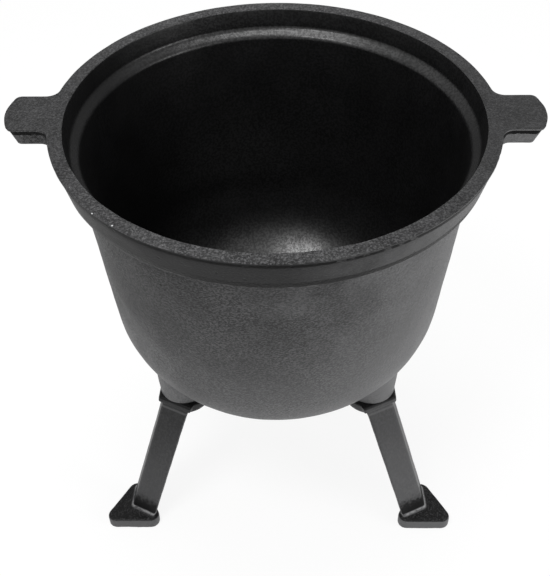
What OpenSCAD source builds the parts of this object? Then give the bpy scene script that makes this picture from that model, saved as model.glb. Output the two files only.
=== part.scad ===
// Three-legged cast iron cauldron: a round-bottomed pot with a deep rim collar,
// a sunk seat for a lid, two flat ears, and three bolted-on angle legs.
// The origin is on the floor, under the middle of the pot. +X runs along the
// ears, -Y is the front, and all lengths are in millimetres.

/* [Rim and lid seat] */
// How far the rim stands out past the bowl, on each side
rim_overhang = 16.25; // [13:0.25:20]
// Width of the flat land on top of the rim
rim_land_w = 10.5; // [8:0.5:13]
// Depth of the recess that the lid drops into
recess_depth = 15.5; // [10:0.5:19]
// How much the recess wall closes in from its top to its bottom
recess_draft = 2.2; // [0.5:0.1:4]
// Fall of the sloping ledge that carries the lid
ledge_drop = 4.5; // [2:0.5:6]
// Rounding of the ledge's nose
ledge_round_r = 2; // [1:0.25:3]
// Height of the collar below the rim's top
collar_h = 27; // [24:0.5:34]
// How much the collar's outside closes in from top to bottom
collar_taper = 5.8; // [2:0.1:8]
// Height of the thin lip round the rim's top edge
lip_h = 1.5; // [1:0.1:3]
// How far the lip stands proud of the collar
lip_step = 0.7; // [0.3:0.1:1.5]
// Rounding of the collar's lower edge
collar_round_r = 2; // [1:0.25:3]
// Fillet where the collar's underside meets the bowl
collar_fillet_r = 3; // [1:0.25:5]

/* [Bowl] */
// Outer diameter of the bowl just under the collar
bowl_top_d = 287.5; // [255:0.5:320]
// Draft of the bowl's side wall, in degrees
wall_draft = 5.4; // [2:0.1:8]
// Depth from the rim's top to the underside of the bowl
bowl_depth = 250; // [235:1:262]
// Depth at which the side wall starts to turn in
shoulder_depth = 157.5; // [140:0.5:170]
// Fullness of the turn: 2 is an ellipse, more is squarer
bowl_fullness = 2.2; // [2:0.05:2.6]
// Thickness of the side wall
wall_t = 4.5; // [3.5:0.25:6]
// Thickness of the bottom
bottom_t = 6; // [4:0.25:8]

/* [Ears] */
// Width of an ear across its free end
ear_w = 42.6; // [34:0.2:54]
// How far an ear reaches past the rim
ear_reach = 31.8; // [22:0.2:42]
// Thickness of an ear
ear_t = 12; // [8:0.5:15]
// Radius of the slightly bowed end
ear_crown_r = 62; // [45:1:120]
// Radius of the end's two corners
ear_corner_r = 5; // [3:0.5:8]
// Radius of the fillets between an ear and the rim
ear_fillet_r = 10; // [6:0.5:14]
// How far the end face leans in at its lower edge
ear_lean = 6; // [2:0.5:8]

/* [Lugs under the bowl] */
// Diameter of the circle that the three lugs stand on
lug_circle_d = 181; // [176:1:188]
// Diameter of a lug near its foot
lug_d = 35; // [31:0.5:39]
// How much wider a lug gets, per side, up to the bowl
lug_draft = 4; // [1:0.25:6]
// Rounding of a lug's lower edge
lug_round_r = 2; // [1:0.25:4]
// Height from the underside of the bowl up to the face that a leg bolts to
lug_rise = 7; // [3:0.5:10]
// Depth of the blind bolt hole in a lug
bolt_hole_depth = 16; // [14:0.5:18]

/* [Legs] */
// Height from the floor to the face that a lug sits on
leg_h = 143; // [120:1:180]
// Distance from a lug's axis out to the ridge of the leg at its top
ridge_reach = 18.3; // [16:0.1:21]
// Angle of each side of the leg from the tangent, seen from above
flange_angle = 33.4; // [28:0.2:38]
// Width of a side of the leg under its top
flange_top_w = 23.7; // [20:0.1:26]
// Width of a side of the leg at the foot
flange_foot_w = 22.8; // [18:0.1:24]
// Thickness of a side of the leg
flange_t = 4.7; // [3.5:0.1:5]
// Radius that widens each side into the top plate
flange_root_r = 15; // [8:0.5:20]
// Size of the eased edge along the top of the leg
top_ease = 3.2; // [1.5:0.1:4]
// Thickness of the top plate
plate_t = 6; // [4:0.5:9]
// Radius of the top plate round the bolt
plate_r = 23; // [21:0.5:26]

/* [Feet] */
// Diameter of the circle that the feet's middles stand on
foot_circle_d = 307.6; // [290:0.2:340]
// Side of the three-cornered foot, before its corners are rounded
foot_side = 57; // [48:0.5:62]
// Radius of a foot's corners
foot_corner_r = 7.5; // [3:0.5:9]
// Thickness of a foot
foot_t = 11.5; // [8:0.5:16]

/* [Bolts and washers] */
// Diameter of the bolts
bolt_d = 8; // [6:0.5:8]
// Length of a bolt under its head
bolt_l = 20; // [18:0.5:22]
// Width across the flats of a bolt head
head_af = 13; // [10:0.5:13]
// Height of a bolt head
head_h = 5.3; // [4:0.1:6]
// Radial gap round a bolt in its tapped hole
thread_gap = 0.05; // [0.02:0.01:0.1]
// Radial gap round a bolt in the plate and the washer
plate_hole_gap = 0.5; // [0.2:0.05:1]
// Outer diameter of a washer
washer_d = 15; // [14:0.5:15.5]
// Thickness of a washer
washer_t = 1.6; // [1:0.1:2.5]

/* [Hidden] */

$fn = 96;

// Directions of the legs, turning from +X towards +Y
front_left_az = 210;
front_right_az = 330;
rear_az = 90;
leg_azimuths = [front_left_az, front_right_az, rear_az];

// Steps in a quarter turn of the bowl's curve, and in a small rounding
curve_steps = 30;
round_steps = 8;
// Overlap that makes a cut or a join run through cleanly
cut = 1;

// Heights
lug_face_depth = bowl_depth - lug_rise;
rim_z = leg_h + lug_face_depth;
collar_z = rim_z - collar_h;
ear_z = rim_z - ear_t;

// Radius of the bowl's tapering wall at a depth below the rim's top: its outer
// face, or a face that lies some way in from there
function wall_r(depth, inset = 0) =
    bowl_top_d / 2 - inset - (depth - collar_h) * tan(wall_draft);

// The rim, the lid's recess in it, and the ledge's nose where the bowl begins
rim_r = bowl_top_d / 2 + rim_overhang;
recess_r = rim_r - rim_land_w;
recess_low_r = recess_r - recess_draft;
nose_depth = recess_depth + ledge_drop;
nose_r = wall_r(nose_depth, wall_t);

// Places that the legs share with the bowl
lug_rho = lug_circle_d / 2;
foot_rho = foot_circle_d / 2;
ridge_top_rho = lug_rho + ridge_reach;
washer_z = leg_h - plate_t - washer_t;

// Lean of the leg's ridge, and of the flat sides beside it
ridge_slope = (foot_rho - ridge_top_rho) / (leg_h - foot_t);
flange_tilt = atan(ridge_slope * cos(flange_angle));

// Points of an arc, counting angles from +X
function arc(c, r, a0, a1, n = round_steps) =
    [for (i = [0:n]) let (a = a0 + (a1 - a0) * i / n) c + r * [cos(a), sin(a)]];

// Outline of the rounded bottom from the axis up to the shoulder
function bottom_curve(depth, inset = 0) = [
    for (i = [curve_steps:-1:0])
        let (
            a = 90 * i / curve_steps,
            d = shoulder_depth
                + (depth - shoulder_depth) * pow(sin(a), 2 / bowl_fullness),
            side = i == curve_steps ? 0 : pow(cos(a), 2 / bowl_fullness)
        )
        [wall_r(d, inset) * side, rim_z - d]
];

// Half outline of the whole pot, as if it were solid
function pot_outline() =
    let (
        bowl_r = bowl_top_d / 2,
        face_top_r = rim_r - lip_step,
        face_low_r = face_top_r - collar_taper,
        lean = atan(collar_taper / (collar_h - lip_h)),
        fillet_c = [bowl_r + collar_fillet_r, collar_z - collar_fillet_r],
        edge_c = [face_low_r - collar_round_r, collar_z + collar_round_r]
    )
    concat(
        bottom_curve(bowl_depth),
        [[wall_r(collar_h + collar_fillet_r), fillet_c.y]],
        arc(fillet_c, collar_fillet_r, 170, 90),
        arc(edge_c, collar_round_r, -90, -lean),
        [
            [face_top_r, rim_z - lip_h],
            [rim_r, rim_z - lip_h],
            [rim_r, rim_z],
            [0, rim_z],
        ]
    );

// Half outline of the hollow: the bowl, the lid's ledge and the recess above it
function hollow_outline() =
    let (
        slope = atan(ledge_drop / (recess_low_r - nose_r)),
        nose_c = [nose_r + ledge_round_r, rim_z - nose_depth - ledge_round_r / 2]
    )
    concat(
        bottom_curve(bowl_depth - bottom_t, wall_t),
        arc(nose_c, ledge_round_r, 180, 90 + slope),
        [
            [recess_low_r, rim_z - recess_depth],
            [recess_r, rim_z],
            [recess_r, rim_z + cut],
            [0, rim_z + cut],
        ]
    );

// Outline of an ear from above, with fillets that run out on the rim
function ear_outline() =
    let (
        half = ear_w / 2,
        end_x = rim_r + ear_reach,
        corner_x = end_x - ear_corner_r,
        root = rim_r + ear_fillet_r,
        fillet_y = half + ear_fillet_r,
        fillet_x = sqrt(root * root - fillet_y * fillet_y),
        turn = asin(fillet_y / root),
        inner_x = nose_r
    )
    concat(
        [[inner_x, -rim_r * sin(turn)]],
        arc([fillet_x, -fillet_y], ear_fillet_r, 180 - turn, 90),
        arc([corner_x, -half + ear_corner_r], ear_corner_r, -90, 0),
        arc([corner_x, half - ear_corner_r], ear_corner_r, 0, 90),
        arc([fillet_x, fillet_y], ear_fillet_r, -90, -180 + turn),
        [[inner_x, rim_r * sin(turn)]]
    );

// One ear on the +X side, its end bowed and leaning in
module ear() {
    crown_x = rim_r + ear_reach - ear_crown_r;
    translate([0, 0, ear_z])
        intersection() {
            linear_extrude(ear_t) polygon(ear_outline());
            translate([crown_x, 0, 0])
                cylinder(h = ear_t, r1 = ear_crown_r - ear_lean, r2 = ear_crown_r);
        }
}

// One lug, from its bolting face up into the bowl's wall
module lug() {
    top_z = rim_z - shoulder_depth;
    r = lug_d / 2;
    translate([lug_rho, 0, 0])
        rotate_extrude()
            polygon(concat(
                [[0, leg_h]],
                arc([r - lug_round_r, leg_h + lug_round_r], lug_round_r, -90, 0),
                [[r + lug_draft, top_z], [0, top_z]]
            ));
}

module bolt_hole() {
    translate([lug_rho, 0, leg_h - cut])
        cylinder(h = bolt_hole_depth + cut, r = bolt_d / 2 + thread_gap);
}

module pot_body() {
    color([0.25, 0.25, 0.26])
        difference() {
            union() {
                rotate_extrude() polygon(pot_outline());
                ear();
                rotate([0, 0, 180]) ear();
                for (az = leg_azimuths) rotate([0, 0, az]) lug();
            }
            rotate_extrude() polygon(hollow_outline());
            for (az = leg_azimuths) rotate([0, 0, az]) bolt_hole();
        }
}

// A side of the leg in its own plane: x runs from the ridge along the side,
// y up the slope. It widens at the top to meet the round of the top plate.
function flange_outline() =
    let (
        fall = leg_h - foot_t / 2,
        up = cos(flange_tilt),
        foot_y = -fall / up,
        foot_x = -fall * ridge_slope * sin(flange_angle),
        root_w = plate_r / cos(flange_angle),
        root_y = -plate_t / up,
        edge_dir = [foot_x + flange_foot_w - flange_top_w, foot_y],
        bend_y = root_y - flange_root_r,
        bend_x = flange_top_w + edge_dir.x * bend_y / edge_dir.y
    )
    concat(
        [[0, 0], [foot_x, foot_y], [foot_x + flange_foot_w, foot_y]],
        [
            for (i = [0:round_steps])
                let (a = 90 * i / round_steps)
                [
                    bend_x + (root_w - bend_x) * (1 - cos(a)),
                    bend_y + (root_y - bend_y) * sin(a)
                ]
        ],
        [[root_w, 0]]
    );

// One side of the leg, standing at the ridge and tilted with it
module flange() {
    translate([ridge_top_rho, 0, leg_h])
        rotate([0, 0, 90 + flange_angle])
            rotate([90 - flange_tilt, 0, 0])
                translate([0, 0, -flange_t])
                    linear_extrude(flange_t) polygon(flange_outline());
}

// A cutter that eases the outer edge along the top of one side
module edge_cutter() {
    turn = 45 - flange_tilt / 2;
    size = [4 * plate_r, 4 * top_ease, 2 * top_ease];
    translate([ridge_top_rho, 0, leg_h])
        rotate([0, 0, 90 + flange_angle])
            rotate([turn, 0, 0])
                translate([-plate_r, -size.y / 2, -top_ease * sin(turn)])
                    cube(size);
}

// The top plate: a round about the bolt, cut to a corner behind the ridge
module top_plate() {
    corner = ridge_reach - flange_t / 2;
    back = 2 * plate_r;
    translate([lug_rho, 0, leg_h - plate_t])
        intersection() {
            cylinder(h = plate_t, r = plate_r);
            linear_extrude(plate_t)
                polygon([
                    [corner, 0],
                    [corner - back * tan(flange_angle), back],
                    [-back, back],
                    [-back, -back],
                    [corner - back * tan(flange_angle), -back],
                ]);
        }
}

// The three-cornered foot, one corner pointing outwards
module foot() {
    corner_rho = foot_side / sqrt(3) - 2 * foot_corner_r;
    translate([foot_rho, 0, 0])
        linear_extrude(foot_t)
            polygon([
                for (a = [0, 120, 240])
                    each arc(corner_rho * [cos(a), sin(a)], foot_corner_r, a - 60, a + 60)
            ]);
}

module leg() {
    color([0.27, 0.27, 0.28])
        difference() {
            union() {
                flange();
                mirror([0, 1, 0]) flange();
                top_plate();
                foot();
            }
            edge_cutter();
            mirror([0, 1, 0]) edge_cutter();
            translate([lug_rho, 0, leg_h - plate_t - cut])
                cylinder(h = plate_t + 2 * cut, r = bolt_d / 2 + plate_hole_gap);
        }
}

module washer() {
    color([0.34, 0.34, 0.35])
        translate([lug_rho, 0, washer_z])
            difference() {
                cylinder(h = washer_t, r = washer_d / 2);
                translate([0, 0, -cut])
                    cylinder(h = washer_t + 2 * cut, r = bolt_d / 2 + plate_hole_gap);
            }
}

module bolt() {
    color([0.3, 0.3, 0.31])
        translate([lug_rho, 0, washer_z]) {
            cylinder(h = bolt_l, r = bolt_d / 2);
            translate([0, 0, -head_h])
                cylinder(h = head_h, r = head_af / sqrt(3), $fn = 6);
        }
}

module leg_front_left() rotate([0, 0, front_left_az]) leg();
module leg_front_right() rotate([0, 0, front_right_az]) leg();
module leg_rear() rotate([0, 0, rear_az]) leg();
module washer_front_left() rotate([0, 0, front_left_az]) washer();
module washer_front_right() rotate([0, 0, front_right_az]) washer();
module washer_rear() rotate([0, 0, rear_az]) washer();
module bolt_front_left() rotate([0, 0, front_left_az]) bolt();
module bolt_front_right() rotate([0, 0, front_right_az]) bolt();
module bolt_rear() rotate([0, 0, rear_az]) bolt();

pot_body();
leg_front_left();
leg_front_right();
leg_rear();
washer_front_left();
washer_front_right();
washer_rear();
bolt_front_left();
bolt_front_right();
bolt_rear();
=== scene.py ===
"""Dresses the cast iron cauldron: its iron skin, worn rim, legs and fasteners."""
import logging
import math
from dataclasses import dataclass, field
from enum import Enum
from typing import Callable, Iterable, Sequence

import bmesh
import bpy
from mathutils import Matrix, Vector, noise


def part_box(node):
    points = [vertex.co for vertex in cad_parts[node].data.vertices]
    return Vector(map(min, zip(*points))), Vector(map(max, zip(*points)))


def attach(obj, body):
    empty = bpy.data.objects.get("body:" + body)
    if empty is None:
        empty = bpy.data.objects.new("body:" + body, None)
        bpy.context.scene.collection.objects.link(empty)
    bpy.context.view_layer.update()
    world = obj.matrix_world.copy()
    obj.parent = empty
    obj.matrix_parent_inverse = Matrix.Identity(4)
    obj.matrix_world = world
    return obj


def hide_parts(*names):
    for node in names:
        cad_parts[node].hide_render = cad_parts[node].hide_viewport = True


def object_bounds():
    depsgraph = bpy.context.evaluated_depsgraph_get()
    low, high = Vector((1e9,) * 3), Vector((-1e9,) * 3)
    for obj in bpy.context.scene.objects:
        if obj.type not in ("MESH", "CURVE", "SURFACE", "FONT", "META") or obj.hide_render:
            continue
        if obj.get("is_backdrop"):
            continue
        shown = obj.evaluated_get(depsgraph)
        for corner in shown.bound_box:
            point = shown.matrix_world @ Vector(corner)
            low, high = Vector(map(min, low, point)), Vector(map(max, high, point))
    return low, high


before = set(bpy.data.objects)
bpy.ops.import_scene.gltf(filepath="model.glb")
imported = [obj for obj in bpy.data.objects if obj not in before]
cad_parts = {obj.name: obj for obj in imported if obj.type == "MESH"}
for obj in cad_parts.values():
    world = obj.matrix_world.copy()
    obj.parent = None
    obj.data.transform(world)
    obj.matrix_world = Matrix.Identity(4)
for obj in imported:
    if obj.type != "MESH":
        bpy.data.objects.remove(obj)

CAD_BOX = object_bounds()
MM = 0.001
ROOT = "root"
SHARP_ANGLE = 42.0
MERGE = 0.001
NEAR = 0.1

log = logging.getLogger("cauldron")

Colour = tuple[float, float, float]
Point = tuple[float, float]


class Slot(Enum):
    """The record's material slots."""

    POT = "pot_iron"
    LEG = "leg_iron"
    STEEL = "dark_steel"


class Station(Enum):
    """The three legs, by the direction each stands in, in degrees from +X."""

    FRONT_LEFT = 210
    FRONT_RIGHT = 330
    REAR = 90

    @property
    def suffix(self) -> str:
        """The end of the node names at this station."""
        return self.name.lower()

    @property
    def turn(self) -> Matrix:
        """The turn from +X to this station."""
        return Matrix.Rotation(math.radians(self.value), 4, "Z")


def math_method(operation: str, turned: bool = False) -> Callable[["Link", "Value"], "Link"]:
    """A method of Link that adds one Math node.

    Args:
        operation: the Math node's operation.
        turned: whether the link is the second of the two values.

    Returns:
        The method.
    """

    def act(self: "Link", other: "Value") -> "Link":
        """The operation on the link and another value."""
        pair = [other, self] if turned else [self, other]
        return self.graph.node("ShaderNodeMath", {"operation": operation}, pair)

    return act


class Link:
    """One shader socket, with arithmetic that adds Math nodes."""

    def __init__(self, graph: "Graph", socket: bpy.types.NodeSocket) -> None:
        """Keeps the graph and the socket."""
        self.graph = graph
        self.socket = socket

    __add__ = math_method("ADD")
    __radd__ = math_method("ADD", turned=True)
    __sub__ = math_method("SUBTRACT")
    __rsub__ = math_method("SUBTRACT", turned=True)
    __mul__ = math_method("MULTIPLY")
    __pow__ = math_method("POWER")
    maximum = math_method("MAXIMUM")


Value = Link | float


class Graph:
    """The node tree of one material, or of the world."""

    def __init__(self, tree: bpy.types.NodeTree) -> None:
        """Empties the tree."""
        self.tree = tree
        self.tree.nodes.clear()

    def node(
        self,
        kind: str,
        settings: dict | None = None,
        sockets: dict | Sequence | None = None,
        output: str | int = 0,
    ) -> Link:
        """Adds a node.

        Args:
            kind: the node's type.
            settings: its properties, set first.
            sockets: values or links, by the socket's name or in order.
            output: which output to hand back.

        Returns:
            The chosen output, as a link.
        """
        made = self.tree.nodes.new(kind)
        for name, value in (settings or {}).items():
            setattr(made, name, value)
        pairs = sockets.items() if isinstance(sockets, dict) else enumerate(sockets or [])
        for name, value in pairs:
            if isinstance(value, Link):
                self.tree.links.new(value.socket, made.inputs[name])
            elif value is not None:
                made.inputs[name].default_value = value
        return Link(self, made.outputs[output] if len(made.outputs) else None)

    def noise(self, place: Link, size: float, detail: float = 2.0, rough: float = 0.5) -> Link:
        """Soft noise.

        Args:
            place: the coordinate, in millimetres.
            size: the size of its features, in millimetres.
            detail: how many finer layers it has.
            rough: how strong the finer layers are.

        Returns:
            A value from about 0.25 to 0.75.
        """
        return self.node(
            "ShaderNodeTexNoise",
            None,
            {"Vector": place, "Scale": 1 / size, "Detail": detail, "Roughness": rough},
            "Fac",
        )

    def cells(self, place: Link, size: float) -> Link:
        """Distance to the nearest of scattered points, in cell sizes."""
        return self.node(
            "ShaderNodeTexVoronoi", None, {"Vector": place, "Scale": 1 / size}, "Distance"
        )

    def step(self, value: Value, edge: Point, shift: float = 0.0) -> Link:
        """A smooth step from 0 to 1.

        Args:
            value: what is measured.
            edge: where the step starts and where it ends; the start may be the larger.
            shift: how far both places are moved.

        Returns:
            0 before the start, 1 past the end.
        """
        start, end = (place + shift for place in edge)
        settings = {"interpolation_type": "SMOOTHSTEP"}
        return self.node("ShaderNodeMapRange", settings, [value, start, end, 0.0, 1.0])

    def mix(self, share: Value, first: Link | Colour, second: Link | Colour) -> Link:
        """A mix of two colours.

        Args:
            share: the share of the second colour.
            first: the colour at a share of 0.
            second: the colour at a share of 1.

        Returns:
            The mixed colour.
        """
        ends = [c if isinstance(c, Link) else (*c, 1.0) for c in (first, second)]
        return self.node(
            "ShaderNodeMix", {"data_type": "RGBA"}, {0: share, 6: ends[0], 7: ends[1]}, 2
        )

    def place_mm(self) -> tuple[Link, Link, Link, Link]:
        """The object coordinate in millimetres, whole and as x, y and z.

        Returns:
            The whole coordinate, then its x, y and z.
        """
        where = self.node("ShaderNodeTexCoord", None, None, "Object")
        scaled = self.node(
            "ShaderNodeVectorMath", {"operation": "SCALE"}, {"Vector": where, "Scale": 1 / MM}
        )
        parts = [
            self.node("ShaderNodeSeparateXYZ", None, [scaled], axis) for axis in ("X", "Y", "Z")
        ]
        return scaled, *parts


@dataclass(frozen=True)
class Skin:
    """The skin of sand-cast iron: a dark coat over a fine orange peel.

    Sizes and depths are in millimetres, and colours are linear. An edge says
    where a change over the skin starts and where it ends. Each lift, dimming
    and share is an amount from 0 to 1.
    """

    name: str
    dark: Colour = (0.008, 0.008, 0.0083)
    light: Colour = (0.135, 0.135, 0.137)
    peel_size: float = 1.8
    peel_depth: float = 0.34
    squash: float = 1.6
    grain_size: float = 0.8
    grain_depth: float = 0.06
    pit_size: float = 11.0
    pit_depth: float = 0.3
    pit_edge: Point = (0.13, 0.04)
    cloud_size: float = 30.0
    cloud_edge: Point = (0.3, 0.7)
    patch_size: float = 45.0
    patch_edge: Point = (0.35, 0.65)
    fleck_size: float = 1.0
    fleck_edge: Point = (0.5, 0.68)
    top_edge: Point = (0.42, 0.62)
    finest: float = 0.6
    patchiness: float = 0.7
    top_lift: float = 0.26
    cloud_lift: float = 0.14
    fleck_lift: float = 0.2
    pit_dimming: float = 0.8
    smooth: float = 0.4
    rough: float = 0.56
    index: float = 1.2
    film_roughness: float = 0.32

    def build(self) -> bpy.types.Material:
        """The finished material.

        Returns:
            A new material, with its node tree.
        """
        material = bpy.data.materials.new(self.name)
        material.use_nodes = True
        graph = Graph(material.node_tree)
        place = Place.of(graph, self)
        relief = {"Strength": 1.0, "Distance": MM, "Height": self.relief(graph, place)}
        sockets = {
            "Base Color": self.colour(graph, place),
            "Roughness": self.roughness(graph, place),
            "IOR": self.index,
            "Coat Weight": self.film(graph, place),
            "Coat Roughness": self.film_roughness,
            "Normal": graph.node("ShaderNodeBump", None, relief),
        }
        shader = graph.node("ShaderNodeBsdfPrincipled", None, sockets)
        graph.node("ShaderNodeOutputMaterial", None, {"Surface": shader})
        return material

    def coarseness(self, graph: Graph, place: "Place") -> Link:
        """How coarse the skin is from place to place, around 1."""
        return self.finest + place.patches * self.patchiness

    def relief(self, graph: Graph, place: "Place") -> Link:
        """The height of the skin over the mesh, in millimetres."""
        lumps = place.peel * (2 * self.peel_depth) + place.grain * (2 * self.grain_depth)
        return self.coarseness(graph, place) * lumps - place.pits * self.pit_depth

    def lightness(self, graph: Graph, place: "Place") -> Link:
        """Where the coat is worn to its lighter colour, from 0 to 1.

        Args:
            graph: the material's node tree.
            place: the place on the skin.

        Returns:
            The share of the lighter colour.
        """
        tops = graph.step(place.peel, self.top_edge) * self.coarseness(graph, place)
        wear_and_light = tops * self.top_lift + place.cloud * self.cloud_lift + place.fleck * self.fleck_lift
        return wear_and_light * (1 - place.pits * self.pit_dimming)

    def colour(self, graph: Graph, place: "Place") -> Link:
        """The base colour."""
        return graph.mix(self.lightness(graph, place), self.dark, self.light)

    def film(self, graph: Graph, place: "Place") -> float | Link:
        """The share of the surface under a thin film of oil: none by itself."""
        return 0.0

    def roughness(self, graph: Graph, place: "Place") -> Link:
        """The roughness."""
        return (place.cloud + place.grain) * ((self.rough - self.smooth) / 2) + self.smooth


@dataclass(frozen=True)
class Place:
    """A point of the skin: its coordinates in millimetres and the noises there."""

    x: Link
    y: Link
    z: Link
    radius: Link
    whole: Link
    peel: Link
    grain: Link
    pits: Link
    cloud: Link
    patches: Link
    fleck: Link

    @classmethod
    def of(cls, graph: Graph, skin: Skin) -> "Place":
        """The place that a skin's material reads.

        Args:
            graph: the material's node tree.
            skin: the skin that gives the sizes of the noises.

        Returns:
            The coordinates and the noises.
        """
        whole, x, y, z = graph.place_mm()
        stretch = [whole, (1.0, 1.0, skin.squash)]
        flat = graph.node("ShaderNodeVectorMath", {"operation": "MULTIPLY"}, stretch)
        clouds = graph.noise(whole, skin.cloud_size, detail=3.0, rough=0.6)
        flecks = graph.noise(whole, skin.fleck_size, detail=1.0, rough=0.6)
        return cls(
            x=x,
            y=y,
            z=z,
            radius=(x * x + y * y) ** 0.5,
            whole=whole,
            peel=graph.noise(flat, skin.peel_size, detail=1.5),
            grain=graph.noise(whole, skin.grain_size, detail=1.0),
            pits=graph.step(graph.cells(whole, skin.pit_size), skin.pit_edge),
            cloud=graph.step(clouds, skin.cloud_edge),
            patches=graph.step(graph.noise(whole, skin.patch_size, detail=1.0), skin.patch_edge),
            fleck=graph.step(flecks, skin.fleck_edge),
        )


@dataclass(frozen=True)
class PotSkin(Skin):
    """The pot's outside: ground and speckled on top, smooth on the collar, with painted light and
    shade over its tone.

    Edges in height are measured from the rim or from the collar's lower edge,
    and edges in radius from the rim's outer edge.
    """

    finest: float = 0.75
    patchiness: float = 0.6
    specks: Colour = (0.1, 0.1, 0.102)
    chip: Colour = (0.5, 0.5, 0.51)
    # Colour of painted shade: the dark line painted under the rim's lip where its shadow falls.
    painted_shade: Colour = (0.0015, 0.0015, 0.0016)
    # Colour of the painted highlight along the collar's lower edge.
    lip_highlight: Colour = (0.12, 0.12, 0.122)
    rim: float = 386.0
    rim_radius: float = 160.0
    collar_height: float = 27.0
    lip_height: float = 1.5
    land_edge: Point = (-0.55, -0.25)
    collar_edge: Point = (-1.0, 1.0)
    ear_edge: Point = (0.5, 3.0)
    right_edge: Point = (5.0, 150.0)
    right_waver: float = 30.0
    left_edge: Point = (-30.0, -130.0)
    front_edge: Point = (50.0, -10.0)
    low_edge: Point = (-60.0, -200.0)
    low_waver: float = 40.0
    quiet_side: float = 70.0
    right_calm: float = 0.5
    collar_calm: float = 0.75
    ground_flat: float = 0.6
    lift: float = 0.12
    # Painted light: lighter to the right and low down (a painted reflection of the floor); painted
    # shade on the front left and on the collar.
    right_painted_light: float = 0.42
    low_painted_reflection: float = 0.48
    low_left_painted_reflection: float = 0.3
    ear_lift: float = 0.1
    front_left_painted_shade: float = 0.14
    collar_painted_shade: float = 0.35
    collar_front_painted_shade: float = 0.37
    collar_left_painted_shade: float = 0.28
    collar_right_shade_relief: float = 0.85
    # The painted shadow line under the rim's lip.
    lip_shadow_top: Point = (0.3, 0.0)
    lip_shadow_bottom: Point = (-4.0, -3.6)
    lip_shadow_size: float = 5.0
    lip_shadow_waver: float = 1.8
    lip_shadow_side_drop: float = 3.0
    lip_shadow_front: Point = (60.0, 20.0)
    lip_shadow_break: Point = (0.72, 0.62)
    gap_start: Point = (15.0, 40.0)
    gap_end: Point = (110.0, 80.0)
    gap_share: float = 0.12
    # The painted highlight along the collar's lower edge.
    lip_bottom: Point = (-0.4, 0.5)
    lip_top: Point = (2.3, 1.3)
    lip_size: float = 9.0
    lip_edge: Point = (0.47, 0.6)
    lip_share: float = 0.7
    speck_size: float = 1.5
    speck_edge: Point = (0.42, 0.68)
    speck_share: float = 0.85
    side_dimming: float = 0.42
    right_dimming: float = 0.3
    ground_cloud: float = 0.12
    chip_size: float = 8.0
    chip_core: Point = (0.09, 0.05)
    chip_radius: Point = (-4.5, -2.0)
    chip_right: Point = (-40.0, -60.0)
    chip_left: Point = (-150.0, -135.0)
    chip_front: Point = (-25.0, -50.0)

    @property
    def under(self) -> float:
        """The height of the collar's lower edge."""
        return self.rim - self.collar_height

    def land(self, graph: Graph, place: Place) -> Link:
        """1 on the flat top of the rim and the ears."""
        return graph.step(place.z, self.land_edge, self.rim)

    def ears(self, graph: Graph, place: Place) -> Link:
        """1 on the ears, 0 on the round of the pot."""
        return graph.step(place.radius, self.ear_edge, self.rim_radius)

    def collar(self, graph: Graph, place: Place) -> Link:
        """1 on the collar's outer face."""
        above = graph.step(place.z, self.collar_edge, self.under)
        return above * (1 - self.land(graph, place)) * (1 - self.ears(graph, place))

    def right(self, graph: Graph, place: Place) -> Link:
        """1 towards the right, where the casting is smoother and where painted light makes it
        paler.
        """
        return graph.step(place.x + place.cloud * self.right_waver, self.right_edge)

    def side(self, graph: Graph, place: Place) -> Link:
        """1 at the two sides, where the ears are."""
        return graph.step(place.x * place.x, (self.quiet_side**2, self.rim_radius**2))

    def coarseness(self, graph: Graph, place: Place) -> Link:
        """Coarse on the left and middle of the bowl, finer to the right.

        Args:
            graph: the material's node tree.
            place: the place on the skin.

        Returns:
            The factor of the skin's relief.
        """
        collar = self.collar(graph, place) * self.collar_calm
        calm = (self.right(graph, place) * self.right_calm).maximum(collar)
        return super().coarseness(graph, place) * (1 - calm)

    def relief(self, graph: Graph, place: Place) -> Link:
        """The skin's relief, half ground away on top of the rim."""
        return super().relief(graph, place) * (1 - self.land(graph, place) * self.ground_flat)

    def seam(self, graph: Graph, place: Place) -> Link:
        """1 in the thin painted shadow under the rim's lip, which breaks up to the right.

        Args:
            graph: the material's node tree.
            place: the place on the skin.

        Returns:
            The share of the painted shadow's colour.
        """
        high = graph.step(place.z, self.lip_shadow_top, self.rim - self.lip_height)
        ragged = graph.noise(place.whole, self.lip_shadow_size, detail=3.0, rough=0.6)
        front = graph.step(place.y, self.lip_shadow_front) * (1 - self.ears(graph, place))
        drop = ragged * self.lip_shadow_waver + self.side(graph, place) * front * self.lip_shadow_side_drop
        low = graph.step(place.z + drop, self.lip_shadow_bottom, self.rim)
        gap = graph.step(place.x, self.gap_start) * graph.step(place.x, self.gap_end)
        return high * low * graph.step(ragged + gap * self.gap_share, self.lip_shadow_break)

    def lip_highlight_share(self, graph: Graph, place: Place) -> Link:
        """1 in patches along the collar's lower edge: a painted highlight.

        Args:
            graph: the material's node tree.
            place: the place on the skin.

        Returns:
            The share of the painted highlight.
        """
        low = graph.step(place.z, self.lip_bottom, self.under)
        high = graph.step(place.z, self.lip_top, self.under)
        patches = graph.noise(place.whole, self.lip_size, detail=3.0, rough=0.7)
        return low * high * graph.step(patches, self.lip_edge)

    def painted_light_and_wear(self, graph: Graph, place: Place) -> Link:
        """How light the coat is: worn tone, painted light low down and to the right, painted shade
        on the front left and on the collar.

        Args:
            graph: the material's node tree.
            place: the place on the skin.

        Returns:
            The share of the lighter colour.
        """
        right = self.right(graph, place)
        left = graph.step(place.x, self.left_edge)
        front = graph.step(place.y, self.front_edge)
        low = graph.step(place.z + place.cloud * self.low_waver, self.low_edge, self.rim)
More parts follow.
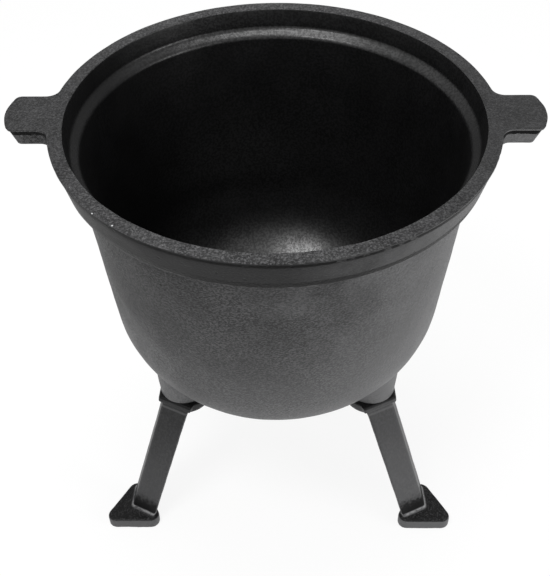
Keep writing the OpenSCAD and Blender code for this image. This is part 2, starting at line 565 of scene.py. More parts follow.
        # Painted light to the right and low down, painted shade on the front left, over the worn
        # tone.
        wear_and_light = self.lightness(graph, place) + right * self.right_painted_light
        wear_and_light = wear_and_light + low * (self.low_painted_reflection + left * self.low_left_painted_reflection)
        wear_and_light = wear_and_light + self.ears(graph, place) * self.ear_lift
        wear_and_light = wear_and_light + self.lift - left * front * self.front_left_painted_shade
        # Painted shade on the collar, deepest at the front left and eased to the right.
        collar_front_shade = self.collar_front_painted_shade + left * self.collar_left_painted_shade
        shade = self.collar(graph, place) * (self.collar_painted_shade + front * collar_front_shade)
        return wear_and_light * (1 - shade * (1 - right * self.collar_right_shade_relief))

    def ground(self, graph: Graph, place: Place) -> Link:
        """The colour of the rim's ground top, with its light specks.

        Args:
            graph: the material's node tree.
            place: the place on the skin.

        Returns:
            The colour.
        """
        grain = graph.noise(place.whole, self.speck_size, detail=4.0, rough=0.8)
        specks = graph.step(grain, self.speck_edge)
        specks = specks * (self.speck_share - self.side(graph, place) * self.side_dimming)
        specks = specks * (1 - self.right(graph, place) * self.right_dimming)
        return graph.mix(specks + place.cloud * self.ground_cloud, self.dark, self.specks)

    def chips(self, graph: Graph, place: Place) -> Link:
        """1 in the chips on the front left of the rim's outer edge.

        Args:
            graph: the material's node tree.
            place: the place on the skin.

        Returns:
            The share of the chips' colour.
        """
        edge = graph.step(place.radius, self.chip_radius, self.rim_radius)
        core = graph.step(graph.cells(place.whole, self.chip_size), self.chip_core)
        across = graph.step(place.x, self.chip_right) * graph.step(place.x, self.chip_left)
        front = graph.step(place.y, self.chip_front)
        return edge * self.land(graph, place) * core * across * front

    def colour(self, graph: Graph, place: Place) -> Link:
        """The base colour, with the rim's specks, its chips, the painted shadow under its lip and
        the painted highlight on the collar's lower edge.

        Args:
            graph: the material's node tree.
            place: the place on the skin.

        Returns:
            The colour.
        """
        body = graph.mix(self.painted_light_and_wear(graph, place), self.dark, self.light)
        # Painted highlight along the collar's lower edge.
        body = graph.mix(self.lip_highlight_share(graph, place) * self.lip_share, body, self.lip_highlight)
        body = graph.mix(self.land(graph, place), body, self.ground(graph, place))
        # Painted shadow under the rim's lip.
        body = graph.mix(self.seam(graph, place), body, self.painted_shade)
        return graph.mix(self.chips(graph, place), body, self.chip)


@dataclass(frozen=True)
class BowlSkin(Skin):
    """The pot's inside and lid seat: near black, its dark coat darkened further by painted shade
    of the deep bowl and the recess, with a film of oil in places.
    """

    # Near black: the dark coat with the deep bowl's and the recessed seat's painted shade.
    dark: Colour = (0.002, 0.002, 0.0021)
    light: Colour = (0.008, 0.008, 0.0084)
    peel_size: float = 1.9
    peel_depth: float = 0.16
    squash: float = 1.0
    pit_depth: float = 0.04
    rough: float = 0.5
    index: float = 1.22
    back_edge: Point = (20.0, 120.0)
    back_slant: float = 0.25
    back_share: float = 0.55
    bottom_edge: Point = (220.0, 170.0)
    film_edge: Point = (0.4, 0.6)
    film_share: float = 0.52
    film_tops: float = 0.56
    film_cloud: float = 0.15

    def film(self, graph: Graph, place: Place) -> Link:
        """Oil gathers in the bottom and at the back of the lid seat.

        Args:
            graph: the material's node tree.
            place: the place on the skin.

        Returns:
            The weight of the coat.
        """
        back = graph.step(place.y + place.x * self.back_slant, self.back_edge)
        bottom = graph.step(place.z, self.bottom_edge)
        tops = graph.step(place.peel, self.film_edge) * self.film_tops
        film = self.film_share + tops + place.cloud * self.film_cloud
        return (back * self.back_share).maximum(bottom) * film


@dataclass(frozen=True)
class LegSkin(Skin):
    """The legs' skin: satin sides, a rough foot with painted shade on top, and a painted highlight
    along the fillet between them.

    Edges in height are measured from the foot's top or the leg's top.
    """

    dark: Colour = (0.01, 0.01, 0.0104)
    light: Colour = (0.105, 0.105, 0.107)
    peel_depth: float = 0.06
    squash: float = 0.6
    grain_depth: float = 0.012
    pit_depth: float = 0.1
    patchiness: float = 0.5
    smooth: float = 0.36
    rough: float = 0.5
    # Colour of painted shade on the foot's top, just above it and under the top plate.
    painted_shade: Colour = (0.002, 0.002, 0.0021)
    # Colour of the painted highlight on the foot's fillet and the shoulder bend.
    painted_highlight: Colour = (0.3, 0.3, 0.303)
    foot: float = 11.5
    top: float = 143.0
    shoulder: float = 133.6
    rise_end: float = 20.0
    right_edge: Point = (-60.0, 60.0)
    foot_edge: Point = (-0.6, -1.6)
    skin_share: float = 0.35
    lift: float = 0.11
    rise_lift: float = 0.32
    rise_dimming: float = 0.1
    # Painted light: the legs on the right and the foot's sides are lightened where the light
    # falls.
    right_painted_light: float = 0.36
    foot_side_painted_light: float = 0.3
    pad_band: Point = (-0.7, 0.6)
    pad_soft: float = 0.2
    pad_coarse: float = 2.5
    pad_share: float = 0.95
    pad_fleck: float = 0.3
    # Painted shade under the top plate, on the foot's top and on the leg just above it.
    plate_edge: Point = (-2.2, -1.0)
    plate_share: float = 0.8
    foot_shade_bottom: Point = (2.6, 3.2)
    foot_shade_top: Point = (28.0, 17.0)
    foot_shade_size: float = 3.0
    foot_shade_waver: float = 16.0
    foot_shade_share: float = 0.92
    # Painted highlights along the foot's fillet and the shoulder bend.
    bead_band: Point = (1.1, 2.4)
    bead_soft: float = 0.4
    bead_size: float = 5.0
    bead_edge: Point = (0.3, 0.5)
    bead_share: float = 0.6
    bend_band: Point = (-1.1, 1.0)
    bend_soft: float = 0.8
    bend_share: float = 0.14

    def band(self, graph: Graph, place: Place, ends: Point, soft: float, base: float) -> Link:
        """A level band.

        Args:
            graph: the material's node tree.
            place: the place on the skin.
            ends: the band's lower and upper end, from the base.
            soft: half the width over which an end fades.
            base: the height that the ends are measured from.

        Returns:
            1 in the band.
        """
        low, high = ends
        rise = graph.step(place.z, (low - soft, low + soft), base)
        return rise * graph.step(place.z, (high + soft, high - soft), base)

    def pad(self, graph: Graph, place: Place) -> Link:
        """1 on top of the foot."""
        return self.band(graph, place, self.pad_band, self.pad_soft, self.foot)

    def coarseness(self, graph: Graph, place: Place) -> Link:
        """Satin sides over a rough foot."""
        return super().coarseness(graph, place) + self.pad(graph, place) * self.pad_coarse

    def painted_light_and_wear(self, graph: Graph, place: Place) -> Link:
        """How light the coat is: worn tone, painted light on the right and on the foot's sides,
        and lighter from the shoulder down.

        Args:
            graph: the material's node tree.
            place: the place on the skin.

        Returns:
            The share of the lighter colour.
        """
        rise = graph.step(place.z, (self.shoulder, self.foot + self.rise_end))
        right = graph.step(place.x, self.right_edge)
        foot_side = graph.step(place.z, self.foot_edge, self.foot)
        wear_and_light = self.lightness(graph, place) * self.skin_share
        wear_and_light = wear_and_light + rise * (self.rise_lift - right * self.rise_dimming)
        # Painted light on the right and on the foot's sides.
        return wear_and_light + right * self.right_painted_light + foot_side * self.foot_side_painted_light + self.lift

    def painted_shade_share(self, graph: Graph, place: Place) -> Link:
        """The share of painted shade: on the foot's top, above it and at the top plate's edge.

        Args:
            graph: the material's node tree.
            place: the place on the skin.

        Returns:
            The share.
        """
        # Painted shade under the top plate, on the foot's top and on the leg just above it.
        plate = graph.step(place.z, self.plate_edge, self.top) * self.plate_share
        pad = self.pad(graph, place) * (self.pad_share - place.fleck * self.pad_fleck)
        ragged = graph.noise(place.whole, self.foot_shade_size, detail=3.0, rough=0.6)
        above_foot = graph.step(place.z, self.foot_shade_bottom, self.foot)
        height = place.z + ragged * self.foot_shade_waver
        above_foot = above_foot * graph.step(height, self.foot_shade_top, self.foot)
        return pad.maximum(above_foot * self.foot_shade_share).maximum(plate)

    def highlight_share(self, graph: Graph, place: Place) -> Link:
        """The share of painted highlight: along the foot's fillet and at the shoulder.

        Args:
            graph: the material's node tree.
            place: the place on the skin.

        Returns:
            The share.
        """
        # Painted highlights, broken up by noise.
        wear_and_light = graph.step(graph.noise(place.whole, self.bead_size), self.bead_edge)
        bead = self.band(graph, place, self.bead_band, self.bead_soft, self.foot)
        bend = self.band(graph, place, self.bend_band, self.bend_soft, self.shoulder)
        return (bead * self.bead_share * wear_and_light).maximum(bend * self.bend_share)

    def colour(self, graph: Graph, place: Place) -> Link:
        """The base colour: painted shade under the plate, on the foot and above it, and painted
        highlights on the fillet and the shoulder.

        Args:
            graph: the material's node tree.
            place: the place on the skin.

        Returns:
            The colour.
        """
        colour = graph.mix(self.painted_light_and_wear(graph, place), self.dark, self.light)
        # Painted shade, then painted highlights.
        colour = graph.mix(self.painted_shade_share(graph, place), colour, self.painted_shade)
        return graph.mix(self.highlight_share(graph, place), colour, self.painted_highlight)


@dataclass(frozen=True)
class SteelSkin(Skin):
    """Blackened steel of the bolts and washers."""

    dark: Colour = (0.03, 0.03, 0.032)
    light: Colour = (0.1, 0.1, 0.103)
    peel_depth: float = 0.015
    grain_depth: float = 0.012
    pit_depth: float = 0.02
    smooth: float = 0.28
    rough: float = 0.42
    index: float = 1.6


def lerp(low: float, high: float, share: float) -> float:
    """A value part of the way from low to high."""
    return low + (high - low) * share


def arc(centre: Point, radius: float, start: float, end: float, steps: int) -> list[Point]:
    """Points of an arc.

    Args:
        centre: the arc's centre.
        radius: its radius.
        start: the first angle in degrees, from the first axis.
        end: the last angle.
        steps: how many pieces it is cut into.

    Returns:
        The points, ends included.
    """
    angles = [math.radians(lerp(start, end, i / steps)) for i in range(steps + 1)]
    return [(centre[0] + radius * math.cos(a), centre[1] + radius * math.sin(a)) for a in angles]


def divide(start: Point, end: Point, longest: float) -> list[Point]:
    """Points strictly between two ends, no further apart than longest.

    Args:
        start: the first end.
        end: the other end.
        longest: the longest gap.

    Returns:
        The points, without the ends.
    """
    count = max(1, math.ceil(math.dist(start, end) / longest))
    return [
        (lerp(start[0], end[0], i / count), lerp(start[1], end[1], i / count))
        for i in range(1, count)
    ]


def finish_piece(
    mesh: bmesh.types.BMesh,
    name: str,
    materials: Sequence[bpy.types.Material],
    node: str,
) -> bpy.types.Object:
    """Turns a bmesh into a finished piece of the object.

    Args:
        mesh: the mesh, in metres, at its place. It is freed.
        name: the piece's name.
        materials: its materials, in the order of its faces' indices.
        node: the CAD node that it stands for.

    Returns:
        The new object.
    """
    open_edges = sum(1 for edge in mesh.edges if len(edge.link_faces) != 2)
    for face in mesh.faces:
        face.smooth = True
    data = bpy.data.meshes.new(name)
    mesh.to_mesh(data)
    mesh.free()
    data.set_sharp_from_angle(angle=math.radians(SHARP_ANGLE))
    for material in materials:
        data.materials.append(material)
    piece = bpy.data.objects.new(name, data)
    bpy.context.scene.collection.objects.link(piece)
    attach(piece, ROOT)
    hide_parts(node)
    log.info("%s: %d faces, %d open edges", name, len(data.polygons), open_edges)
    return piece


def next_ring(mesh: bmesh.types.BMesh, ring: list, outline: Sequence[Vector]) -> list:
    """Draws a ring of vertices on to its next outline.

    Args:
        mesh: the mesh that holds the ring.
        ring: its vertices in order.
        outline: where each of them goes.

    Returns:
        The new ring's vertices, in the same order.
    """
    edges = [mesh.edges.get(pair) for pair in zip(ring, ring[1:] + ring[:1])]
    made = bmesh.ops.extrude_edge_only(mesh, edges=edges)["geom"]
    fresh = {item for item in made if isinstance(item, bmesh.types.BMVert)}
    drawn = []
    for vertex, place in zip(ring, outline):
        partner = next(
            edge.other_vert(vertex)
            for edge in vertex.link_edges
            if edge.other_vert(vertex) in fresh
        )
        partner.co = place
        drawn.append(partner)
    return drawn


def stack(mesh: bmesh.types.BMesh, outlines: Sequence[Sequence[Vector]]) -> None:
    """Adds a closed body through outlines of the same number of points.

    Args:
        mesh: the mesh to add to.
        outlines: the outlines, from one end of the body to the other.
    """
    count = len(outlines[0])
    ring = bmesh.ops.create_circle(mesh, cap_ends=True, radius=1.0, segments=count)["verts"]
    for vertex, place in zip(ring, outlines[0]):
        vertex.co = place
    for outline in outlines[1:]:
        ring = next_ring(mesh, ring, outline)
    bmesh.ops.contextual_create(mesh, geom=ring)


def ring_points(
    radius: float, height: float, middle: Vector = Vector(), count: int = 96
) -> list[Vector]:
    """Points of a level circle.

    Args:
        radius: its radius.
        height: its height over the middle.
        middle: the point that its axis goes through.
        count: how many points it has.

    Returns:
        The points, from +X round.
    """
    turns = (math.tau * i / count for i in range(count))
    return [
        middle + Vector((radius * math.cos(turn), radius * math.sin(turn), height))
        for turn in turns
    ]


def lathe(outline: Sequence[Point], steps: int, closed: bool = False) -> bmesh.types.BMesh:
    """Spins an outline round the Z axis.

    Args:
        outline: its points, each a radius and a height in millimetres.
        steps: how many columns the round has.
        closed: whether the last point joins the first one.

    Returns:
        A new mesh, with its doubles merged and its faces pointing outwards.
    """
    mesh = bmesh.new()
    line = [mesh.verts.new((x, 0.0, z)) for x, z in outline]
    edges = [mesh.edges.new(pair) for pair in zip(line, line[1:])]
    if closed:
        edges.append(mesh.edges.new((line[-1], line[0])))
    turn = {"cent": (0, 0, 0), "axis": (0, 0, 1), "angle": math.tau, "use_merge": True}
    bmesh.ops.spin(mesh, geom=line + edges, steps=steps, **turn)
    bmesh.ops.remove_doubles(mesh, verts=mesh.verts, dist=MERGE)
    bmesh.ops.recalc_face_normals(mesh, faces=mesh.faces)
    return mesh


def to_metres(mesh: bmesh.types.BMesh) -> None:
    """Brings a mesh in millimetres to metres."""
    bmesh.ops.scale(mesh, vec=(MM, MM, MM), verts=mesh.verts)


def rounding(gap: float, radius: float) -> float:
    """How far a round stands off its line.

    Args:
        gap: the distance from where the round meets the other line.
        radius: the round's radius.

    Returns:
        The radius at a gap of 0, and 0 from a gap of the radius on.
    """
    if gap >= radius:
        return 0.0
    return radius - math.sqrt(max(radius**2 - (radius - max(gap, 0.0)) ** 2, 0.0))


def baked(
    mesh: bmesh.types.BMesh,
    kind: str,
    settings: dict,
    tool: bmesh.types.BMesh | None = None,
) -> bmesh.types.BMesh:
    """Runs one modifier on a bmesh.

    Args:
        mesh: the mesh to change. It is freed.
        kind: the modifier's type.
        settings: its properties.
        tool: a second mesh, for a Boolean. It is freed.

    Returns:
        A new bmesh with the result.
    """
    made = []
    for source in (mesh, tool):
        if source is not None:
            data = bpy.data.meshes.new("work")
            source.to_mesh(data)
            source.free()
            made.append(bpy.data.objects.new("work", data))
            bpy.context.scene.collection.objects.link(made[-1])
    modifier = made[0].modifiers.new("work", kind)
    for name, value in settings.items():
        setattr(modifier, name, value)
    if tool is not None:
        modifier.object = made[1]
    evaluated = made[0].evaluated_get(bpy.context.evaluated_depsgraph_get())
    result = bmesh.new()
    result.from_mesh(evaluated.to_mesh())
    evaluated.to_mesh_clear()
    for item in made:
        data = item.data
        bpy.data.objects.remove(item)
        bpy.data.meshes.remove(data)
    return result


def roughen(mesh: bmesh.types.BMesh, layers: Iterable[tuple[float, float]]) -> None:
    """Moves each vertex along its normal by soft noise, as a sand mould leaves it.

    Args:
        mesh: the mesh, in metres.
        layers: for each layer of noise, its size and its depth in millimetres.
    """
    mesh.normal_update()
    moves = []
    for vertex in mesh.verts:
        place = vertex.co / MM
        height = sum(depth * noise.noise(place / size) for size, depth in layers)
        moves.append(vertex.normal * (height * MM))
    for vertex, move in zip(mesh.verts, moves):
        vertex.co += move


def keep_within(mesh: bmesh.types.BMesh, low: Vector, high: Vector) -> None:
    """Brings vertices that the roughening pushed out of a box back to its face.

    Args:
        mesh: the mesh, in metres.
        low: the box's lowest corner.
        high: its highest corner.
    """
    for vertex in mesh.verts:
        for axis in range(3):
            vertex.co[axis] = min(max(vertex.co[axis], low[axis]), high[axis])


@dataclass
class Pot:
    """The pot: bowl, collar, lid seat, ears and lugs in one casting.

    Sizes are in millimetres. The rim, the ears' reach and the heights come from
    the frame, and depths are measured down from the rim. Steps say how many
    pieces a curve is cut into.
    """

    land_width: float = 10.5
    land_round: float = 0.9
    land_steps: int = 3
    land_depth: float = 0.5
    recess_depth: float = 15.5
    recess_draft: float = 2.2
    ledge_drop: float = 4.5
    ledge_round: float = 5.0
    nose_sink: float = 0.55
    corner_round: float = 4.5
    seat_steps: int = 9
    lip_height: float = 1.5
    lip_step: float = 0.7
    collar_height: float = 27.0
    collar_taper: float = 5.8
    collar_round: float = 2.2
    collar_fillet: float = 3.0
    fillet_end: float = 175.0
    collar_steps: int = 4
    overhang: float = 16.25
    wall: float = 4.5
    bottom: float = 6.0
    draft: float = 5.4
    shoulder_depth: float = 157.5
    fullness: float = 2.2
    ear_width: float = 42.6
    ear_thickness: float = 12.0
    ear_corner: float = 5.0
    ear_bow: float = 3.4
    ear_lean: float = 6.0
    ear_longest: float = 3.5
    root_steps: int = 7
    tip_steps: int = 6
    steep: float = 0.7
    sharp: float = 35.0
    rim_easing: tuple[float, int] = (0.7, 2)
    ear_easing: tuple[float, int] = (1.4, 3)
    rim_band: Point = (-1.5, 0.3)
    nick_size: float = 9.0
    nick_start: float = 0.25
    nick_depth: float = 1.5
    wave_size: float = 5.0
    wave_depth: float = 0.3
    groove_marks: Sequence[float] = (0.3, 0.9, 1.5)
    groove_height: float = 1.5
    groove_depth: float = 0.5
    groove_even: float = 0.75
    groove_wave: float = 0.6
    groove_reach: float = 110.0
    groove_least: float = 0.25
    lug_circle: float = 90.5
    lug_radius: float = 20.0
    lug_draft: float = 2.0
    lug_round: float = 1.2
    lug_fillet: float = 7.0
    lug_steps: int = 5
    flare_steps: int = 6
    lug_bite: float = 0.3
    columns: int = 480
    ear_columns: int = 14
    longest: float = 6.0
    curve_steps: int = 34
    skin_layers: Sequence[tuple[float, float]] = ((34.0, 0.25), (13.0, 0.14), (7.0, 0.07))
    rim: float = field(init=False)
    rim_radius: float = field(init=False)
    ear_tip: float = field(init=False)
    depth: float = field(init=False)
    lug_face: float = field(init=False)

    def __post_init__(self) -> None:
        """Reads the sizes that the frame holds."""
        low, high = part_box("pot_body")
        self.rim = high[2] / MM
        self.rim_radius = -low[1] / MM
        self.ear_tip = high[0] / MM
        self.depth = (high[2] - low[2]) / MM
        self.lug_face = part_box("leg_rear")[1][2] / MM

    def wall_radius(self, depth: float, inset: float = 0.0) -> float:
        """The radius of the bowl's tapering wall at a depth."""
        top = self.rim_radius - self.overhang - inset
        return top - (depth - self.collar_height) * math.tan(math.radians(self.draft))

    def bowl_curve(self, depth: float, inset: float) -> list[Point]:
        """The rounded bottom from the axis to the shoulder, as radius and height.

        Args:
            depth: the depth of its lowest point.
            inset: how far it lies inside the bowl's outside.

        Returns:
            Its points, each a radius and a height.
        """
        points = []
        for step in range(self.curve_steps, -1, -1):
            angle = math.pi / 2 * step / self.curve_steps
            fall = (depth - self.shoulder_depth) * math.sin(angle) ** (2 / self.fullness)
            share = max(math.cos(angle), 0.0) ** (2 / self.fullness)
            down = self.shoulder_depth + fall
            reach = 0.0 if step == self.curve_steps else self.wall_radius(down, inset) * share
            points.append((reach, self.rim - down))
        return points

    def height_on(self, curve: Sequence[Point], radius: float) -> float:
        """The height of a curve, from the axis outwards, at a radius.

        Args:
            curve: the curve's points.
            radius: the radius.

        Returns:
            The height there.
        """
        for inner, outer in zip(curve, curve[1:]):
            if radius <= outer[0]:
                share = (radius - inner[0]) / (outer[0] - inner[0])
                return lerp(inner[1], outer[1], share)
        return curve[-1][1]

    def outside_height(self, radius: float) -> float:
        """The height of the bowl's outside at a radius inside the shoulder."""
        return self.height_on(self.bowl_curve(self.depth, 0.0), radius)

    def outline(self) -> list[Point]:
        """The closed half outline, from the inside of the bottom round to its outside.

        Returns:
            The points, each a radius and a height.
        """
        rim, radius = self.rim, self.rim_radius
        recess = radius - self.land_width
        low_recess = recess - self.recess_draft
        nose_depth = self.recess_depth + self.ledge_drop
        nose = self.wall_radius(nose_depth, self.wall)
        fall = self.ledge_drop / (low_recess - nose)
        slope = math.degrees(math.atan(fall))
        nose_at = (nose + self.ledge_round, rim - nose_depth - self.ledge_round * self.nose_sink)
        lift = self.corner_round * (1 / math.cos(math.radians(slope)) - fall)
        foot_at = (low_recess - self.corner_round, rim - self.recess_depth + lift)
        face_top = radius - self.lip_step
        face_low = face_top - self.collar_taper
        lean = math.degrees(math.atan(self.collar_taper / (self.collar_height - self.lip_height)))
        under = rim - self.collar_height
        edge_at = (face_low - self.collar_round, under + self.collar_round)
        bowl = radius - self.overhang
        fillet_at = (bowl + self.collar_fillet, under - self.collar_fillet)
        lip = rim - self.lip_height
        land_at = (recess + self.land_round, rim - self.land_round)
        ear_radius = lerp(face_top, face_low, self.ear_thickness / self.collar_height)
        sections = [
            self.bowl_curve(self.depth - self.bottom, self.wall),
            arc(nose_at, self.ledge_round, 180, 90 + slope, self.seat_steps),
            arc(foot_at, self.corner_round, slope - 90, 0, self.seat_steps),
            arc(land_at, self.land_round, 180, 90, self.land_steps),
            [(radius, rim)],
            [(radius, lip)] + [(face_top, lip - mark) for mark in self.groove_marks],
            [(ear_radius, rim - self.ear_thickness)],
            arc(edge_at, self.collar_round, -lean, -90, self.collar_steps),
            arc(fillet_at, self.collar_fillet, 90, self.fillet_end, self.collar_steps),
            list(reversed(self.bowl_curve(self.depth, 0.0))),
        ]
        points: list[Point] = []
        for section in sections:
            if points:
                points += divide(points[-1], section[0], self.longest)
            points += section
        return points

    def ear_path(self) -> list[tuple[float, float, float]]:
        """The stations of an ear from the rim to its end.

        Returns:
            For each station, the corner's x, its half width, and the bow.
        """
        reach = math.radians(self.ear_columns * 360 / self.columns)
        half = self.ear_width / 2
        fillet = (self.rim_radius * math.sin(reach) - half) / (1 - math.sin(reach))
        root = self.rim_radius + fillet
        centre = (math.sqrt(root**2 - (half + fillet) ** 2), half + fillet)
        corner_x = self.ear_tip - self.ear_bow - self.ear_corner
        start_bow = self.rim_radius * (1 - math.cos(reach))
        turn = math.degrees(math.asin((half + fillet) / root))
        edge = arc(centre, fillet, -180 + turn, -90, self.root_steps)[1:]
        edge += divide(edge[-1], (corner_x, half), self.ear_longest)
        edge += arc((corner_x, half - self.ear_corner), self.ear_corner, 90, 0, self.tip_steps)
        first, last = edge[0][0], edge[-1][0]
        return [
            (x, y, lerp(start_bow, self.ear_bow, (x - first) / (last - first))) for x, y in edge
        ]

    def add_ear(self, mesh: bmesh.types.BMesh, side: int) -> None:
        """Draws one ear out of the collar.

        Args:
            mesh: the spun pot, in millimetres.
            side: 1 for the ear on +X, -1 for the one on -X.
        """
        reach = self.ear_columns * 360 / self.columns
        share_of = mesh.verts.layers.float.get("share") or mesh.verts.layers.float.new("share")
        low = self.rim - self.ear_thickness
        faces = []
        for face in mesh.faces:
            middle = face.calc_center_median()
            turn = math.degrees(math.atan2(middle.y, side * middle.x))
            outside = math.hypot(middle.x, middle.y) > self.rim_radius - self.collar_taper
            sideways = abs(face.normal.z) < self.steep
            if abs(turn) < reach and outside and sideways and low < middle.z < self.rim:
                faces.append(face)
        for vertex in {v for face in faces for v in face.verts}:
            turn = math.degrees(math.atan2(vertex.co.y, side * vertex.co.x))
            vertex[share_of] = turn / reach
        path = self.ear_path()
        root = path[0][0]
        for x, half, bow in path:
            made = bmesh.ops.extrude_face_region(mesh, geom=faces)["geom"]
            bmesh.ops.delete(mesh, geom=faces, context="FACES_ONLY")
            faces = [item for item in made if isinstance(item, bmesh.types.BMFace)]
            for vertex in (item for item in made if isinstance(item, bmesh.types.BMVert)):
                share = vertex[share_of]
                fall = (self.rim - vertex.co.z) / self.ear_thickness
                below_lip = fall * self.ear_thickness > self.lip_height + NEAR
                inset = self.lip_step if below_lip else 0.0
                squeeze = 1 - self.ear_lean * fall / (self.ear_tip - root)
                along = root + (x + bow * (1 - share * share) - root) * squeeze
                vertex.co.x = side * (along - inset)
                vertex.co.y = (half - inset) * share

    def sharp_edges(self, mesh: bmesh.types.BMesh, height: float, within: float) -> list:
        """The sharp edges outside the collar at a height.

        Args:
            mesh: the pot, in millimetres.
            height: the height.
            within: how far above or below it an edge's middle may be.

        Returns:
            The edges.
        """
        outside = self.rim_radius - self.collar_taper
        found = []
        for edge in mesh.edges:
            middle = (edge.verts[0].co + edge.verts[1].co) / 2
            if abs(middle.z - height) >= within or math.hypot(middle.x, middle.y) < outside:
                continue
            if math.degrees(edge.calc_face_angle(0.0)) > self.sharp:
                found.append(edge)
        return found

    def ease(self, mesh: bmesh.types.BMesh, edges: list, easing: tuple[float, int]) -> None:
        """Rounds edges over.

        Args:
            mesh: the mesh that they are on.
            edges: the edges.
            easing: the width of the rounding and its segments.
        """
        width, segments = easing
        settings = {"offset_type": "OFFSET", "profile": 0.5, "affect": "EDGES", "material": -1}
        bmesh.ops.bevel(
            mesh, geom=edges, offset=width, segments=segments, clamp_overlap=True, **settings
        )

    def ease_ears(self, mesh: bmesh.types.BMesh) -> None:
        """Rounds the rim's outer edge and the ears' outlines.

        Args:
            mesh: the pot, in millimetres.
        """
        self.ease(mesh, self.sharp_edges(mesh, self.rim, NEAR), self.rim_easing)
        low = self.rim - self.ear_thickness
        self.ease(mesh, self.sharp_edges(mesh, low, 2 * NEAR), self.ear_easing)

    def lug(self, station: Station) -> bmesh.types.BMesh:
        """One lug: a round pad whose top flares out to lie along the bowl.

        Args:
            station: the leg that it is for.

        Returns:
            A closed mesh, in millimetres, whose top is inside the bowl's wall.
        """
        axis = station.turn @ Vector((self.lug_circle, 0.0, 0.0))
        base = self.lug_face + self.lug_round
        edge_at = (self.lug_radius - self.lug_round, base)
        edge = arc(edge_at, self.lug_round, -90, 0, self.lug_steps)
        outlines = [ring_points(reach, height, axis) for reach, height in edge]
        shares = [i / self.lug_steps for i in range(1, self.lug_steps + 1)]
        side = [(self.lug_radius + self.lug_draft * s, -self.lug_fillet, s) for s in shares]
        top = side[-1][0]
        flare = [
            (top + self.lug_fillet + x, y - self.lug_fillet, 1.0)
            for x, y in arc((0.0, 0.0), self.lug_fillet, 180, 90, self.flare_steps)[1:]
        ]
        for reach, drop, share in side + flare + [(top, self.wall / 2, 1.0)]:
            outline = ring_points(reach, 0.0, axis)
            for point in outline:
                surface = self.outside_height(math.hypot(point.x, point.y))
                point.z = lerp(base, max(surface + drop + self.lug_bite, base + share), share)
            outlines.append(outline)
        mesh = bmesh.new()
        stack(mesh, outlines)
        bmesh.ops.recalc_face_normals(mesh, faces=mesh.faces)
        return mesh

    def lip_bite(self, place: Vector, below: float) -> float:
        """How far the rim's outer edge is worn away.

        Args:
            place: a point on it, in millimetres.
            below: its depth under the rim.

        Returns:
            The depth of a nick in the lip, or of the groove under it.
        """
        wave = noise.noise(Vector((place.x / self.wave_size, place.y / self.wave_size, 9.0)))
        if below < self.lip_height + NEAR:
            nick = noise.noise(Vector((place.x / self.nick_size, place.y / self.nick_size, 3.0)))
            bite = max(0.0, nick - self.nick_start) * self.nick_depth
            return bite + max(0.0, wave) * self.wave_depth
        fade = min(1.0, max(self.groove_least, 1.0 - place.x / self.groove_reach))
        return self.groove_depth * fade * (self.groove_even + wave * self.groove_wave)

    def age_lip(self, mesh: bmesh.types.BMesh) -> None:
        """Nicks the thin lip round the rim and sinks the rough groove under it.

        Args:
            mesh: the pot, in millimetres.
        """
        near, far = (self.rim_radius + edge for edge in self.rim_band)
        deepest = self.lip_height + NEAR + self.groove_height
        for vertex in mesh.verts:
            radius = math.hypot(vertex.co.x, vertex.co.y)
            below = self.rim - vertex.co.z
            if near < radius < far and self.land_depth < below < deepest:
                pull = 1 - self.lip_bite(vertex.co, below) / radius
                vertex.co.x *= pull
                vertex.co.y *= pull

    def inner_limit(self, depth: float) -> float:
        """The radius within which a face at a depth belongs to the pot's inside.

        Args:
            depth: the depth under the rim.

        Returns:
            The radius.
        """
        if depth < self.land_depth:
            return self.rim_radius - self.land_width - self.land_round / 2
        if depth < self.recess_depth + self.ledge_drop + self.ledge_round:
            return self.rim_radius - self.land_width / 2
        return self.wall_radius(depth, self.wall / 2)

    def mark_inside(self, mesh: bmesh.types.BMesh) -> None:
        """Gives the faces of the bowl's inside and the lid seat the second material.

        Args:
            mesh: the finished pot, in metres.
        """
        shell = self.bowl_curve(self.depth - self.bottom / 2, self.wall / 2)
        for face in mesh.faces:
            middle = face.calc_center_median() / MM
            radius = math.hypot(middle.x, middle.y)
            depth = self.rim - middle.z
            if depth < self.shoulder_depth:
                inside = radius < self.inner_limit(depth)
            else:
                inside = middle.z > self.height_on(shell, radius)
            face.material_index = 1 if inside else 0

    def build(self) -> None:
        """Builds and dresses the pot."""
        mesh = lathe(self.outline(), self.columns)
        for side in (1, -1):
            self.add_ear(mesh, side)
        self.ease_ears(mesh)
        self.age_lip(mesh)
        for station in Station:
            union = {"operation": "UNION", "solver": "MANIFOLD"}
            mesh = baked(mesh, "BOOLEAN", union, self.lug(station))
        to_metres(mesh)
        roughen(mesh, self.skin_layers)
        keep_within(mesh, *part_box("pot_body"))
        self.mark_inside(mesh)
        outside = PotSkin("pot_outside", rim=self.rim, rim_radius=self.rim_radius)
        materials = [outside.build(), BowlSkin("pot_inside").build()]
        finish_piece(mesh, "pot", materials, "pot_body")


